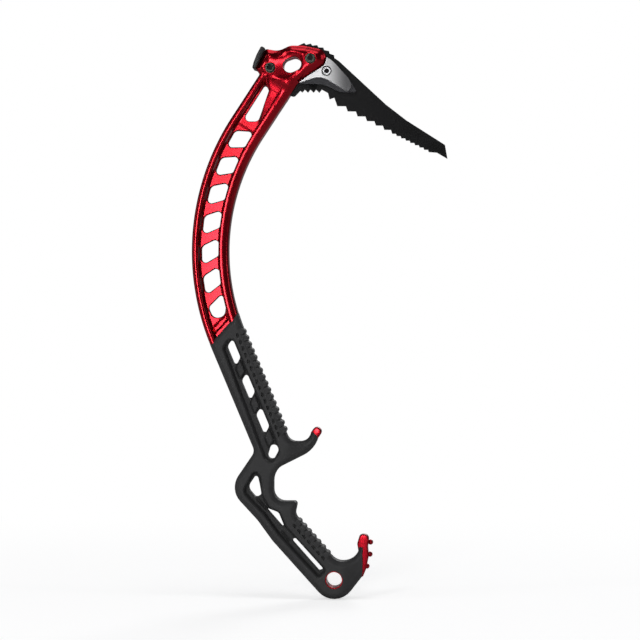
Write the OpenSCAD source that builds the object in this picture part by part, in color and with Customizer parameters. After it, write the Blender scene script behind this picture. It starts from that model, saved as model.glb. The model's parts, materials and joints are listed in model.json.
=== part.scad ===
// Ice climbing tool: a one-piece forged frame with a moulded rubber grip,
// and a bolted-on pick, hammer and pair of pick weights.
// Everything is drawn in a side plan (x to the pick, y up) with its thickness
// along z, and stood upright at the end. The origin is the middle of the head eye.

/* [Shaft] */
// Depth of the shaft from its rear edge to its front edge
shaft_depth = 33; // [31:0.5:36]
// Thickness of the two rails of the shaft
shaft_thick = 20; // [16:0.5:22]
// Depth of the rear rail
rear_rail = 6.2; // [5:0.1:7]
// Depth of the front rail
front_rail = 8.8; // [7.5:0.1:10]
// Rounding of the rails' edges
rail_round = 2.4; // [1:0.1:2.9]
// Thickness of the web between the rails
web_thick = 5; // [3:0.5:7]
// Radius of the curved shaft, at its middle line
bend_r = 204; // [200:1:208]
// Lean of the straight neck above the curve, in degrees
head_lean = 33.3; // [31:0.1:35]
// Lean of the straight grip below the curve, in degrees
grip_lean = 22.8; // [21:0.1:25]
// Place of the lower end of the straight neck, sideways from the head eye
neck_x = -40.5; // [-42:0.1:-39]
// Place of the lower end of the straight neck, up from the head eye
neck_y = -55.5; // [-58:0.1:-53]
// Length of the straight neck that runs up into the head
neck_len = 47; // [44:0.5:50]

/* [Shaft windows] */
// Number of slanted windows in the curve
window_count = 6; // [4:1:6]
// Distance from one slanted window to the next
window_pitch = 26.4; // [24:0.2:27]
// Place of the first slanted window along the curve
window_start = 12.2; // [10:0.2:16]
// Length of a slanted window along the shaft
window_len = 15; // [10:0.5:17]
// Width of a window across the shaft
window_wide = 14.6; // [10:0.2:15]
// Slant of the windows' ends, as rise over run
window_slant = 0.55; // [0.3:0.05:0.7]
// Rounding of the windows' corners
window_round = 3.2; // [1.5:0.1:4]

/* [Head] */
// Thickness of the head
head_thick = 24; // [23:0.5:27]
// Rounding of the head's edges
head_round = 3; // [1.5:0.5:3.5]
// Depth of the dished face round the rear bolt and the eye
dish_depth = 2; // [1:0.1:2.4]
// Thickness of the flat neck face between the first window and the front rail
gusset_thick = 14; // [8:0.5:18]
// Radius of the rear lobe of the head eye
eye_rear_r = 6.4; // [5:0.1:7]
// Radius of the front lobe of the head eye
eye_front_r = 6.2; // [5:0.1:7]

/* [Pick] */
// Thickness of the pick
pick_thick = 4; // [3:0.1:4.4]
// Thickness of the hollow-ground end of the pick
pick_tip_thick = 3.2; // [2.4:0.1:3.8]
// Gap between the pick and each cheek of the head
pick_gap = 0.1; // [0.05:0.05:0.3]
// Number of large teeth after the first one
big_teeth = 7; // [5:1:7]
// Distance between the first large teeth
big_pitch = 10.5; // [9:0.1:11]
// What each large tooth is shorter than the one before it
pitch_step = 0.5; // [0.2:0.05:0.7]
// Number of fine teeth towards the tip
fine_teeth = 8; // [5:1:9]
// Distance between the fine teeth
fine_pitch = 4.6; // [3.5:0.1:5]
// Height of a large tooth
tooth_height = 5.2; // [3:0.1:6]

/* [Pick weights] */
// Thickness of one pick weight
weight_thick = 7; // [6:0.1:8]
// Gap between a weight and the head, seen from the side
weight_gap = 0.5; // [0.3:0.1:1]
// Drop from a weight's bright face to the dark ledge below it
weight_step = 3; // [1.5:0.1:4]

/* [Hammer] */
// Width of the hammer's face
hammer_wide = 22; // [16:0.5:24]
// Thickness of each of its two tabs beside the pick's tail
tab_thick = 2; // [1.5:0.1:2.4]

/* [Bolts] */
// Radius of the two head bolts
bolt_r = 3; // [2.5:0.1:3.2]
// Radius of a head bolt's head
bolt_head_r = 4.7; // [4.2:0.1:5]
// Height of a head bolt's head
bolt_head_h = 4; // [3:0.1:4.2]
// Radius of the weight bolt
small_bolt_r = 2.5; // [2:0.1:2.8]
// Radius of the weight bolt's head
small_head_r = 4.2; // [3.8:0.1:4.5]
// Height of the weight bolt's head
small_head_h = 3; // [2:0.1:3.2]
// Thickness of the washers
washer_thick = 0.8; // [0.5:0.1:1]
// Radial clearance of a bolt in a plain hole
hole_gap = 0.2; // [0.1:0.05:0.3]
// Radial clearance of a bolt in its nut
thread_gap = 0.05; // [0.02:0.01:0.08]
// Radial clearance round a bolt's head and its nut
seat_gap = 0.35; // [0.2:0.05:0.5]

/* [Grip] */
// Thickness of the grip
grip_thick = 25; // [23:0.5:28]
// Rounding of the grip's edges
grip_round = 3; // [2:0.5:3.5]
// Thickness of the trigger and of the pommel hook
horn_thick = 17; // [14:0.5:19]
// Thickness of rubber over the metal
skin = 2.5; // [1.5:0.1:2.6]
// Thickness of the grip's web between its rails
grip_web = 11; // [9.5:0.5:13]
// Distance between the finger ribs
rib_pitch = 6.4; // [6:0.1:7]
// Number of finger ribs on the upper grip
upper_ribs = 16; // [10:1:16]
// Number of finger ribs on the lower grip
lower_ribs = 7; // [4:1:7]
// Height of a finger rib
rib_height = 1; // [0.5:0.1:1.4]
// Length of a groove beside each rib
groove_len = 3.9; // [3:0.1:4.5]
// Width of a groove beside each rib
groove_wide = 2; // [1.5:0.1:2.4]
// Gap left between the rubber and the metal
mould_gap = 0.05; // [0.02:0.01:0.2]

/* [Pommel] */
// Radius of the leash eye through the pommel
pommel_eye_r = 7; // [5.5:0.1:7.5]
// Radius of the opening in the rubber round the leash eye
pommel_rim_r = 8; // [7.8:0.1:8.6]
// Radius of the knobs on the pommel's metal strip
knob_r = 1.7; // [1:0.1:2]

/* [Hidden] */
$fn = 48;
arc_step = 15;
egg_steps = 24;
big = 400;
cut = 1;
joint_lap = 3;
horn_lap = 10;
zone_reach = 5;
strip_lap = 4;
step = 0.1;
// The neck runs a little way inside the curve, and is that much finer
neck_lap = 1;
neck_less = 0.02;

// Middle line of the shaft
bend_centre = [neck_x, neck_y] + bend_r * [cos(head_lean), -sin(head_lean)];
bend_len = bend_r * (head_lean + grip_lean) * PI / 180;
half_depth = shaft_depth / 2;
web_rear = rear_rail - half_depth;
web_front = half_depth - front_rail;
window_front = web_front - 0.7;

// Places on the head, from the eye
front_bolt_at = [16.4, 6];
rear_bolt_at = [-19.8, -2.2];
weight_bolt_at = [31.1, -5.6];
eye_rear = [-1.6, -0.6];
eye_front = [2.1, 0.9];
pommel_eye = [37.8, -462.2];

// Levels in the thickness, from the middle outwards
slot_half = pick_thick / 2 + pick_gap;
tab_out = slot_half + tab_thick;
fork_half = tab_out + pick_gap;
head_half = head_thick / 2;
dish_floor = head_half - dish_depth;
bolt_seat = dish_floor - bolt_head_h - washer_thick + 1;
bolt_end = dish_floor + 0.4;
nut_flange = 1.8;
nut_end = fork_half + 0.5;
nut_r = bolt_r + 1;
weight_face = slot_half + weight_thick;
small_seat = weight_face - small_head_h - washer_thick - 0.5;
small_nut_r = small_bolt_r + 0.8;
small_nut_end = slot_half + 0.5;

// Red metal starts where the rubber ends, on a slanted line
rubber_from = 189;
hand_from = bend_len + 70;

// A point of the shaft: run is the way along its middle line from the foot of
// the neck, and side the way to the front of that line
function on_shaft(run, side) =
    run < 0
        ? bend_centre + (bend_r - side) * [-cos(head_lean), sin(head_lean)]
            - run * [sin(head_lean), cos(head_lean)]
    : run < bend_len
        ? let (turn = run / bend_r * 180 / PI - head_lean)
            bend_centre - (bend_r - side) * [cos(turn), sin(turn)]
    : bend_centre - (bend_r - side) * [cos(grip_lean), sin(grip_lean)]
        + (run - bend_len) * [sin(grip_lean), -cos(grip_lean)];

function unit(v) = v / norm(v);

// The arc that rounds corner b, which is [x, y, radius], between a and c
function corner(a, b, c) =
    let (
        p = [b.x, b.y],
        to_a = [a.x, a.y] - p,
        to_c = [c.x, c.y] - p,
        u = unit(to_a),
        w = unit(to_c),
        half = acos(max(-1, min(1, u * w))) / 2,
        reach = min(b.z / tan(half), 0.49 * norm(to_a), 0.49 * norm(to_c)),
        r = reach * tan(half),
        mid = p + unit(u + w) * r / sin(half),
        from = p + u * reach - mid,
        to = p + w * reach - mid,
        a0 = atan2(from.y, from.x),
        sweep = (atan2(to.y, to.x) - a0 + 540) % 360 - 180,
        steps = max(1, ceil(abs(sweep) / arc_step))
    )
    b.z <= 0 ? [p] : [for (i = [0:steps]) mid + r * [cos(a0 + sweep * i / steps),
                                                   sin(a0 + sweep * i / steps)]];

// A closed outline from its corners
function rounded(points) =
    let (n = len(points))
    [for (i = [0:n - 1]) each corner(points[(i + n - 1) % n], points[i], points[(i + 1) % n])];

// Corners given as [run, side, radius] on the shaft
function shaft_outline(points) = [for (p = rounded(points)) on_shaft(p.x, p.y)];
function shaft_corner(run, side, r) = [each on_shaft(run, side), r];

module stand() rotate([90, 0, 0]) children();
module slab(thick) linear_extrude(thick, center = true) children();

// A slab whose edges are rounded
module soft_slab(thick, r)
    minkowski() {
        slab(thick - 2 * r) offset(delta = -r) children();
        sphere(r, $fn = 16);
    }

// A slab cut into the face at level z, on the near side
module face_cut(z) translate([0, 0, z]) linear_extrude(big) children();

// The same on both sides
module both_faces() {
    children();
    mirror([0, 0, 1]) children();
}

module bar_section(depth, thick, r)
    polygon(rounded([for (c = [[-1, -1], [1, -1], [1, 1], [-1, 1]])
        [c.x * depth / 2, c.y * thick / 2, r]]));

// Section of the shaft, with its front edge on the right, drawn in by less on each side
module shaft_section(less = 0) {
    translate([-half_depth + rear_rail / 2, 0])
        bar_section(rear_rail - 2 * less, shaft_thick - 2 * less, rail_round);
    translate([half_depth - front_rail / 2, 0])
        bar_section(front_rail - 2 * less, shaft_thick - 2 * less, rail_round);
    translate([-half_depth + rear_rail / 2, less - web_thick / 2])
        square([shaft_depth - rear_rail / 2 - front_rail / 2, web_thick - 2 * less]);
}

module shaft_rails() {
    translate(bend_centre) rotate(180 - head_lean)
        rotate_extrude(angle = head_lean + grip_lean, $fn = 180)
            translate([bend_r, 0]) mirror([1, 0]) shaft_section();
    translate(on_shaft(-neck_len, 0)) rotate(-head_lean) rotate([90, 0, 0])
        linear_extrude(neck_len + neck_lap) shaft_section(neck_less);
}

// Outlines of the shaft's windows
module shaft_windows() {
    w = window_wide;
    front = window_front;
    rear = front - w;
    for (i = [0:window_count - 1]) {
        at = window_start + i * window_pitch;
        a = at - window_len / 2;
        b = at + window_len / 2;
        lean = window_slant * w / 2;
        polygon(shaft_outline([
            [a - lean, front, window_round], [b - lean, front, window_round],
            [b + lean, rear, window_round], [a + lean, rear, window_round * 1.6]]));
    }
    polygon(shaft_outline([
        [-10.5, front - 2.2, 4], [-2.5, rear + 0.4, 4], [-41, rear + 0.2, 1.6],
        [-37, rear + 5.4, 1.8]]));
    last = window_start + window_count * window_pitch - 2.2;
    polygon(shaft_outline([
        [last - 10.5, front - 0.2, 2.2], [last + 2, front + 0.4, 6], [last + 10.5, front - 3, 7],
        [last + 9.5, rear + 1.4, 6], [last - 1, rear - 0.4, 4]]));
}

// The flat face between the first window and the front rail
module gusset_plan()
    polygon(shaft_outline([
        [-neck_len - 4, rear_rail - half_depth, 0], [-neck_len - 4, web_front + 3, 0],
        [-2, web_front + 3, 0], [-10, web_front - 1.8, 2], [-37, web_rear + 5.6, 2],
        [-42, web_rear, 2]]));

// Outline of the head
module head_plan()
    polygon(rounded([
        [-23.5, 14.6, 1.5], [-12.5, 12.6, 14], [-1.5, 17.6, 12], [11, 17.2, 25], [30.2, 12.8, 10.5],
        [30.3, 0.8, 8], [5.4, -15.5, 20], shaft_corner(-40, half_depth, 2),
        shaft_corner(-44, web_front, 3), shaft_corner(-46, web_rear, 3),
        shaft_corner(-40, -half_depth, 2), shaft_corner(-46, -half_depth, 6),
        [-30.2, -7, 3], [-32.2, -3, 1]]));

module dish_plan()
    polygon(rounded([
        [-27.5, 5, 6], [-13, 13.4, 16], [-1.5, 13.2, 9], [9.8, 8.5, 8], [9, -5.5, 8],
        [-1.5, -12.9, 12], [-20, -13, 10], [-28.2, -6.5, 7]]));

// Two lobes, of radius r round p and s round q, and their common tangents
module egg(p, r, q, s) {
    along = atan2(q.y - p.y, q.x - p.x);
    tilt = acos((r - s) / norm(q - p));
    polygon([
        for (i = [0:egg_steps])
            let (a = along + tilt + i * (360 - 2 * tilt) / egg_steps) p + r * [cos(a), sin(a)],
        for (i = [0:egg_steps])
            let (a = along - tilt + i * 2 * tilt / egg_steps) q + s * [cos(a), sin(a)]]);
}

module eye_plan(extra = 0) egg(eye_rear, eye_rear_r + extra, eye_front, eye_front_r + extra);

// Everything past the slanted line where the rubber starts
module rubber_zone(gap = 0) {
    reach = half_depth + zone_reach;
    polygon([on_shaft(rubber_from + gap - window_slant * reach, reach), [150, -230], [150, -520],
             [-120, -520], [-120, -270],
             on_shaft(rubber_from + gap + window_slant * reach, -reach)]);
}

// Outline of the grip with its trigger and pommel hook
rib_line = [-0.665, 0.747];
hook_foot = [41.8, -448.6];
rib_run = 13.8;
strip_steps = 12;
module grip_plan(lap = 0) {
    top = rubber_from - 20;
    run = (hand_from + lap - top) / strip_steps;
    polygon([for (i = [0:strip_steps]) on_shaft(top + i * run, half_depth),
             for (i = [strip_steps:-1:0]) on_shaft(top + i * run, -half_depth)]);
    polygon(rounded([
        shaft_corner(hand_from, -half_depth, 0), shaft_corner(bend_len + 102.4, -half_depth, 8),
        [-56.7, -381.3, 18.5], [-31, -409, 40], [-17.5, -427.5, 40], [39, -490.2, 20.7],
        [67.5, -453.5, 6], [69.6, -437, 20], [69, -421.6, 4], [60.1, -422.2, 4],
        [60.2, -441.5, 14.3], [hook_foot.x, hook_foot.y, 14.3],
        [each hook_foot + 59.3 * rib_line, 7],
        [4.8, -392.2, 2.6], [-16.9, -392.3, 16], [-16.9, -364, 16], [20.1, -345.6, 25],
        [26.4, -324.2, 3.6], [19.8, -324.2, 2.8], [13.5, -338.3, 10], [-2.6, -338.3, 9],
        shaft_corner(hand_from, half_depth, 0)]));
}

// Ribs on the finger side, as circles on the edge
module rib_plan() {
    r = rib_pitch * 0.38;
    for (i = [0:upper_ribs - 1])
        translate(on_shaft(rubber_from + 9 + i * rib_pitch, half_depth + rib_height - r)) circle(r);
    for (i = [0:lower_ribs - 1])
        translate(hook_foot + (rib_run + i * rib_pitch) * rib_line
                  + (rib_height - r) * [rib_line.y, -rib_line.x]) circle(r);
}

module groove(at, turn)
    translate(at) rotate(turn) {
        square([groove_wide, groove_len - groove_wide], center = true);
        for (s = [-1, 1]) translate([0, s * (groove_len - groove_wide) / 2]) circle(groove_wide / 2);
    }

module groove_plan() {
    for (i = [0:upper_ribs - 1])
        groove(on_shaft(rubber_from + 11 + i * rib_pitch, half_depth - 6.4), 10);
    for (i = [0:lower_ribs - 1])
        groove(hook_foot + (rib_run + i * rib_pitch) * rib_line - 6 * [rib_line.y, -rib_line.x],
               35);
}

// Windows of the grip
module grip_windows(extra = 0)
    offset(delta = extra) {
        for (i = [0:2]) {
            at = bend_len + 33.5 * i;
            polygon(shaft_outline([
                [at + 0.4, 4.1, 1.6], [at + 18.8, 4.1, 1.6], [at + 25.4, -3.2, 1.6],
                [at + 5.6, -3.2, 1.6]]));
        }
        translate(on_shaft(bend_len + 108.8, -1.8)) rotate(-18) egg([0, -3], 3.6, [0.4, 2.4], 4.2);
        polygon(rounded([
            [-31.6, -366.5, 2.4], [-29.4, -376, 12], [-27.6, -386, 1.6], [-32.8, -389, 1.6],
            [-40.8, -380, 5]]));
        polygon(rounded([
            [-22.5, -398.4, 0.8], [-12.2, -402.3, 4], [-6.6, -416.6, 1.2]]));
        polygon(rounded([
            [2.6, -424.4, 1.4], [-0.4, -427.4, 1.4], [24.2, -455, 1.8], [28.4, -452.9, 1.8]]));
    }

// Sunken faces of the grip round its windows
module grip_pocket(extra = 0)
    offset(delta = extra) {
        polygon(shaft_outline([
            [bend_len - 2.5, 5.2, 1.5], [bend_len + 98, 5.4, 10], [bend_len + 112, 4, 5],
            [bend_len + 118, -7, 3], [bend_len + 111, -10.4, 4], [bend_len + 5.5, -6.6, 2]]));
        polygon(rounded([
            [-33, -363.5, 3], [-28, -371, 3], [-26.8, -386, 4], [-20.5, -397.6, 2],
            [-11.4, -401.5, 3], [-5.3, -414.4, 3], [3, -423.6, 2], [30.4, -452.8, 2.5],
            [24.4, -460.6, 3], [-11.5, -422, 30], [-25, -403.5, 30], [-44.6, -383.2, 7]]));
    }

// Half planes that bound the trigger, its tip, the hook and the metal strip on it
module trigger_zone() translate([-1, -345]) rotate(-28) square([60, 60]);
module tip_zone() translate([17.6, -329.4]) rotate(-34) translate([-10, 0]) square([40, 30]);
module hook_zone() translate([51, -470]) rotate(-8) square([60, 70]);
module strip_zone() {
    translate([63.2, -460]) square([60, 60]);
    translate([59, -433]) square([60, 30]);
}

module horn_zones() {
    trigger_zone();
    hook_zone();
}

module grip_skin() {
    soft_slab(grip_thick, grip_round) difference() {
        grip_plan(strip_lap);
        horn_zones();
    }
    soft_slab(horn_thick, grip_round) intersection() {
        offset(delta = -step) grip_plan(strip_lap);
        offset(delta = horn_lap) horn_zones();
    }
    slab(horn_thick - 3) rib_plan();
}

// Metal inside the rubber
module core_plan(gap) offset(delta = gap - skin) grip_plan();

module core(gap) {
    difference() {
        union() {
            intersection() {
                slab(shaft_thick - 2 * step + 2 * gap) difference() {
                    core_plan(gap);
                    offset(delta = skin) horn_zones();
                }
                slab(big) rubber_zone(-joint_lap);
            }
            slab(horn_thick - 2 * skin + 2 * gap) intersection() {
                core_plan(gap - step);
                offset(delta = horn_lap) horn_zones();
            }
        }
        both_faces() face_cut(grip_web / 2 - skin + gap) grip_pocket(skin - gap);
        slab(big) grip_windows(skin - gap);
    }
}

// Metal that shows at the trigger's tip and along the pommel hook
module bare_plan(gap = 0) intersection() {
    offset(delta = gap) grip_plan();
    offset(delta = gap) union() {
        tip_zone();
        strip_zone();
    }
}

module knobs()
    for (at = [[70.9, -428.9], [71, -440.4], [68.9, -450.6]])
        translate(at) {
            cylinder(r = knob_r, h = horn_thick - 5, center = true);
            translate([-2, 0, 0]) cube([4, 1.4 * knob_r, horn_thick - 6], center = true);
        }

// Stepped bore for a bolt, its head and its nut, along z
module bolt_bore(r, head_r, seat, nut, nut_end, flange) {
    cylinder(r = r + hole_gap, h = big, center = true);
    translate([0, 0, seat]) cylinder(r = head_r + seat_gap, h = big);
    translate([0, 0, -big - nut_end]) cylinder(r = nut + hole_gap, h = big);
    translate([0, 0, -big - flange]) cylinder(r = head_r + seat_gap, h = big);
}

module pick_slot() offset(delta = 0.4) pick_blank();

module shaft_frame()
    color("crimson") stand() difference() {
        union() {
            difference() {
                shaft_rails();
                slab(big) rubber_zone();
            }
            slab(gusset_thick) gusset_plan();
            soft_slab(head_thick, head_round) head_plan();
            core(0);
            soft_slab(horn_thick, grip_round) bare_plan();
            translate(pommel_eye)
                cylinder(r = pommel_rim_r - mould_gap, h = grip_thick - 3, center = true);
            knobs();
        }
        slab(big) shaft_windows();
        slab(big) eye_plan();
        both_faces() face_cut(dish_floor) dish_plan();
        slab(2 * slot_half) pick_slot();
        slab(2 * fork_half) fork_plan();
        for (at = [front_bolt_at, rear_bolt_at])
            translate(at) bolt_bore(bolt_r, bolt_head_r, bolt_seat, nut_r, nut_end,
                                    dish_floor - nut_flange);
        translate(pommel_eye) cylinder(r = pommel_eye_r, h = big, center = true);
    }

module grip_rubber()
    color([0.22, 0.22, 0.23]) stand() difference() {
        intersection() {
            grip_skin();
            slab(big) rubber_zone(mould_gap);
        }
        core(mould_gap);
        slab(big) bare_plan(mould_gap);
        slab(big) grip_windows();
        both_faces() face_cut(grip_web / 2) grip_pocket();
        both_faces() face_cut(grip_thick / 2 - 1) groove_plan();
        translate(pommel_eye) cylinder(r = pommel_rim_r, h = big, center = true);
    }

// Places of the teeth along the lower edge of the pick
tooth_line = [cos(-26.9), sin(-26.9)];
first_tip = [40.3, -36.4];
function big_run(i) = i * big_pitch - pitch_step * i * (i - 1) / 2;
row_len = big_run(big_teeth - 1);
function tooth(tip, h) = [tip + h * [-0.33, 0.94], tip];
function lower_teeth() = [
    for (i = [0:3]) each [[8.8 + 5.1 * i, -24 - 0.1 * i], [11 + 5.1 * i, -21.4]],
    [32, -24.6], [33.4, -30.2],
    for (i = [0:big_teeth - 1]) each tooth(first_tip + big_run(i) * tooth_line,
                                           i == 0 ? tooth_height + 3 : tooth_height - 0.25 * i),
    for (i = [1:fine_teeth]) each tooth(first_tip + (row_len + i * fine_pitch) * tooth_line, 2.2)];
function upper_teeth() = [
    for (i = [0:5]) each [[10, -19] + 37.8 * [cos(43 + 8.7 * i), sin(43 + 8.7 * i)],
                          [10, -19] + 39.4 * [cos(45.7 + 8.7 * i), sin(45.7 + 8.7 * i)]]];
pick_tip = [139.4, -84.3];

module pick_plan()
    polygon([
        each rounded([[3, 16.6, 0], [-3.5, 14, 10], [-14, 9.4, 10], [-28.2, 4.8, 3], [-26.4, -8.6, 4],
                      [-9.5, -11, 6], [-6.5, -25.4, 3], [1.5, -28.2, 3], [7, -22.4, 0]]),
        each lower_teeth(),
        pick_tip - [9.5, -5.6], pick_tip, [137.2, -71.9],
        each corner([137.2, -71.9], [92.7, -43.4, 130], [41.8, 4]),
        [41.8, 4],
        each upper_teeth(),
        [5, 18]]);

// The pick without its teeth, for the slot in the head
module pick_blank()
    polygon([
        each rounded([[3, 17.2, 0], [-3.5, 14, 10], [-14, 9.4, 10], [-28.2, 4.8, 3], [-26.4, -8.6, 4],
                      [-9.5, -11, 6], [-6.5, -25.4, 3], [1.5, -32, 3], [7, -60, 0]]),
        [90, -60], [90, 60], [3, 60]]);

module pick()
    color([0.2, 0.2, 0.21]) stand() difference() {
        slab(pick_thick) pick_plan();
        both_faces() face_cut(pick_tip_thick / 2)
            polygon([[88, -58], [97, -41], [150, -60], [150, -100]]);
        slab(big) eye_plan(0.8);
        for (at = [front_bolt_at, rear_bolt_at])
            translate(at) cylinder(r = bolt_r + hole_gap, h = big, center = true);
        translate(weight_bolt_at) cylinder(r = small_bolt_r + hole_gap, h = big, center = true);
    }

// Room in the head for the hammer's two tabs
module fork_plan()
    offset(delta = 0.4) polygon(rounded([
        [-34, 11, 1], [-24, 6.2, 3], [-14.2, 2.5, 6], [-14.2, -7.6, 6], [-24, -8.4, 3],
        [-38, -3.5, 1]]));

module tab_plan()
    polygon(rounded([
        [-29, 9, 1], [-24, 6.2, 3], [-14.2, 2.5, 6], [-14.2, -7.6, 6], [-24, -8.4, 3],
        [-34, -3.6, 1]]));

module hammer_plan()
    polygon(rounded([
        [-27.6, 17.2, 1.6], [-23.9, 15, 0.6], [-32.7, -3.2, 0.8], [-36, -3.3, 1.2],
        [-33.6, 6, 30]]));

module hammer()
    color([0.15, 0.15, 0.16]) stand() {
        difference() {
            union() {
                difference() {
                    soft_slab(hammer_wide, 1.2) hammer_plan();
                    slab(big) offset(delta = 0.3) head_plan();
                }
                for (s = [-1, 1]) translate([0, 0, s * (slot_half + tab_thick / 2)])
                    slab(tab_thick) tab_plan();
            }
            slab(2 * slot_half) offset(delta = 0.4) pick_plan();
            translate(rear_bolt_at) cylinder(r = bolt_r + hole_gap, h = big, center = true);
        }
    }

module weight_plan()
    polygon(rounded([
        [31.4, 6.6, 0.8], [37.2, 3, 8], [51, -12, 40], [58.4, -24.6, 1.4], [43.5, -24.8, 14],
        [28, -17.4, 20], [7, -16.6, 0.6], [6, -14.4, 0.4], [20, 0, 0]]));

// The bright face of a weight, above its dark lower ledge
module weight_face_plan()
    polygon(rounded([
        [31.4, 6.6, 0.8], [37, 2.8, 8], [51.5, -13, 30], [53.8, -19.5, 4], [50.2, -25, 2.2],
        [26, -9.4, 18], [6.5, -16.2, 0.4], [6, -14.4, 0.4], [20, 0, 0]]));

// One weight on the near side of the pick, with a bore of radius r, sunk at level seat
module weight(r, sink_r, seat)
    difference() {
        translate([0, 0, slot_half]) {
            linear_extrude(weight_thick - weight_step) weight_plan();
            linear_extrude(weight_thick) weight_face_plan();
        }
        slab(big) offset(delta = weight_gap) head_plan();
        translate(weight_bolt_at) cylinder(r = r + hole_gap, h = big, center = true);
        translate([weight_bolt_at.x, weight_bolt_at.y, seat])
            cylinder(r = sink_r + seat_gap, h = big);
    }

module weight_near()
    color("silver") stand() weight(small_bolt_r, small_head_r, small_seat);

module weight_far()
    color("silver") stand() mirror([0, 0, 1])
        weight(small_nut_r, small_head_r, weight_face - 0.6 - nut_flange);

// A socket-head bolt: its head rests on a washer at level seat
module bolt(at, r, head_r, head_h, seat, end, hex)
    stand() translate(at) difference() {
        union() {
            translate([0, 0, seat + washer_thick]) cylinder(r = head_r, h = head_h);
            translate([0, 0, -end]) cylinder(r = r, h = end + seat + washer_thick + head_h / 2);
        }
        translate([0, 0, seat + washer_thick + head_h * 0.4])
            cylinder(r = hex / sqrt(3), h = head_h, $fn = 6);
    }

module washer(at, r, outer, seat)
    stand() translate([at.x, at.y, seat]) difference() {
        cylinder(r = outer, h = washer_thick);
        translate([0, 0, -cut]) cylinder(r = r + hole_gap, h = washer_thick + 2 * cut);
    }

// A flanged sleeve nut in the far cheek
module sleeve_nut(at, r, outer, flange_r, face, end)
    stand() translate(at) difference() {
        union() {
            translate([0, 0, -face]) cylinder(r = flange_r, h = nut_flange);
            translate([0, 0, -face]) cylinder(r = outer, h = face - end);
        }
        cylinder(r = r + thread_gap, h = big, center = true);
    }

module front_bolt() color([0.12, 0.12, 0.12])
    bolt(front_bolt_at, bolt_r, bolt_head_r, bolt_head_h, bolt_seat, bolt_end, 5);
module rear_bolt() color([0.12, 0.12, 0.12])
    bolt(rear_bolt_at, bolt_r, bolt_head_r, bolt_head_h, bolt_seat, bolt_end, 5);
module weight_bolt() color("silver")
    bolt(weight_bolt_at, small_bolt_r, small_head_r, small_head_h, small_seat, weight_face, 4);

module front_washer() color([0.35, 0.37, 0.33])
    washer(front_bolt_at, bolt_r, bolt_head_r, bolt_seat);
module rear_washer() color([0.35, 0.37, 0.33])
    washer(rear_bolt_at, bolt_r, bolt_head_r, bolt_seat);
module weight_washer() color([0.3, 0.3, 0.3])
    washer(weight_bolt_at, small_bolt_r, small_head_r, small_seat);

module front_nut() color([0.12, 0.12, 0.12])
    sleeve_nut(front_bolt_at, bolt_r, nut_r, bolt_head_r, dish_floor, nut_end);
module rear_nut() color([0.12, 0.12, 0.12])
    sleeve_nut(rear_bolt_at, bolt_r, nut_r, bolt_head_r, dish_floor, nut_end);
module weight_nut() color("silver")
    sleeve_nut(weight_bolt_at, small_bolt_r, small_nut_r, small_head_r, weight_face - 0.6,
               small_nut_end);

shaft_frame();
grip_rubber();
pick();
hammer();
weight_near();
weight_far();
front_bolt();
front_washer();
front_nut();
rear_bolt();
rear_washer();
rear_nut();
weight_bolt();
weight_washer();
weight_nut();
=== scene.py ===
# %% [markdown]
# # An ice climbing tool
# The tool is a forged red frame with a steel pick, a small hammer and two weights bolted to its head, and a
# dark rubber grip moulded round its lower half. The engineering model comes in first as a fixed frame: it says
# where each piece sits. Each piece is then dressed, or modelled again in finer form, in that same place.

# %% Load the engineering model
import math
import json
import bpy
import bmesh
import numpy as np
from mathutils import Vector, Matrix


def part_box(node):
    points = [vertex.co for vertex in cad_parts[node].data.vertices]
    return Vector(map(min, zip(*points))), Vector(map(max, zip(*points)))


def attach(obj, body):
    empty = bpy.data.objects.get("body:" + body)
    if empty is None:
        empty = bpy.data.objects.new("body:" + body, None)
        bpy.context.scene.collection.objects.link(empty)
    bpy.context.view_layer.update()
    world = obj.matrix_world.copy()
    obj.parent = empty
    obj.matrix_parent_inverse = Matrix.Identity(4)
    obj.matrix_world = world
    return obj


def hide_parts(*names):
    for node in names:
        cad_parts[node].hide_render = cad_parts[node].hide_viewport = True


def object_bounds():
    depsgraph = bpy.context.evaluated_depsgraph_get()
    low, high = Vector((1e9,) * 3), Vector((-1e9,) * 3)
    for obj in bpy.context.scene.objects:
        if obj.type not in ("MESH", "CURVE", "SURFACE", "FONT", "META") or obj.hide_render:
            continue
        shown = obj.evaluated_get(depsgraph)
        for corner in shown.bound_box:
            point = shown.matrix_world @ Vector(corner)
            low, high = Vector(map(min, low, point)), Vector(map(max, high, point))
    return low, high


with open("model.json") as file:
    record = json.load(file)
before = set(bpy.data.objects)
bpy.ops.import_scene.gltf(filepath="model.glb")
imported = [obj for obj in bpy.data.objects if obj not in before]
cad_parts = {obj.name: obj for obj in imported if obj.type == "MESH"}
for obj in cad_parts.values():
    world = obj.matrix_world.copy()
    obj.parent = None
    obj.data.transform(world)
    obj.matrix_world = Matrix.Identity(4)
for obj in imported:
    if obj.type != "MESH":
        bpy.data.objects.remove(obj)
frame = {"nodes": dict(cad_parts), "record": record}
cad_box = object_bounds()
nodes = frame["nodes"]
mm = 0.001
bpy.context.scene.view_settings.view_transform = "Standard"
print("nodes:", len(nodes), "box:", [list(corner) for corner in cad_box])

# %% [markdown]
# ## The camera
# The photograph looks at the tool's side from about two metres, a little from the right, level with its middle.

# %% Camera
look_at = Vector((24.75, 0, -229.1)) * mm
camera_data = bpy.data.cameras.new("camera")
camera_data.lens = 125.6
camera_data.sensor_width = 36
camera = bpy.data.objects.new("camera", camera_data)
turn = math.radians(3)
camera.location = look_at + 2.012 * Vector((math.sin(turn), -math.cos(turn), 0))
camera.rotation_euler = (look_at - camera.location).to_track_quat("-Z", "Y").to_euler()
bpy.context.scene.collection.objects.link(camera)
bpy.context.scene.camera = camera
print("camera at", [round(v, 3) for v in camera.location])

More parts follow.
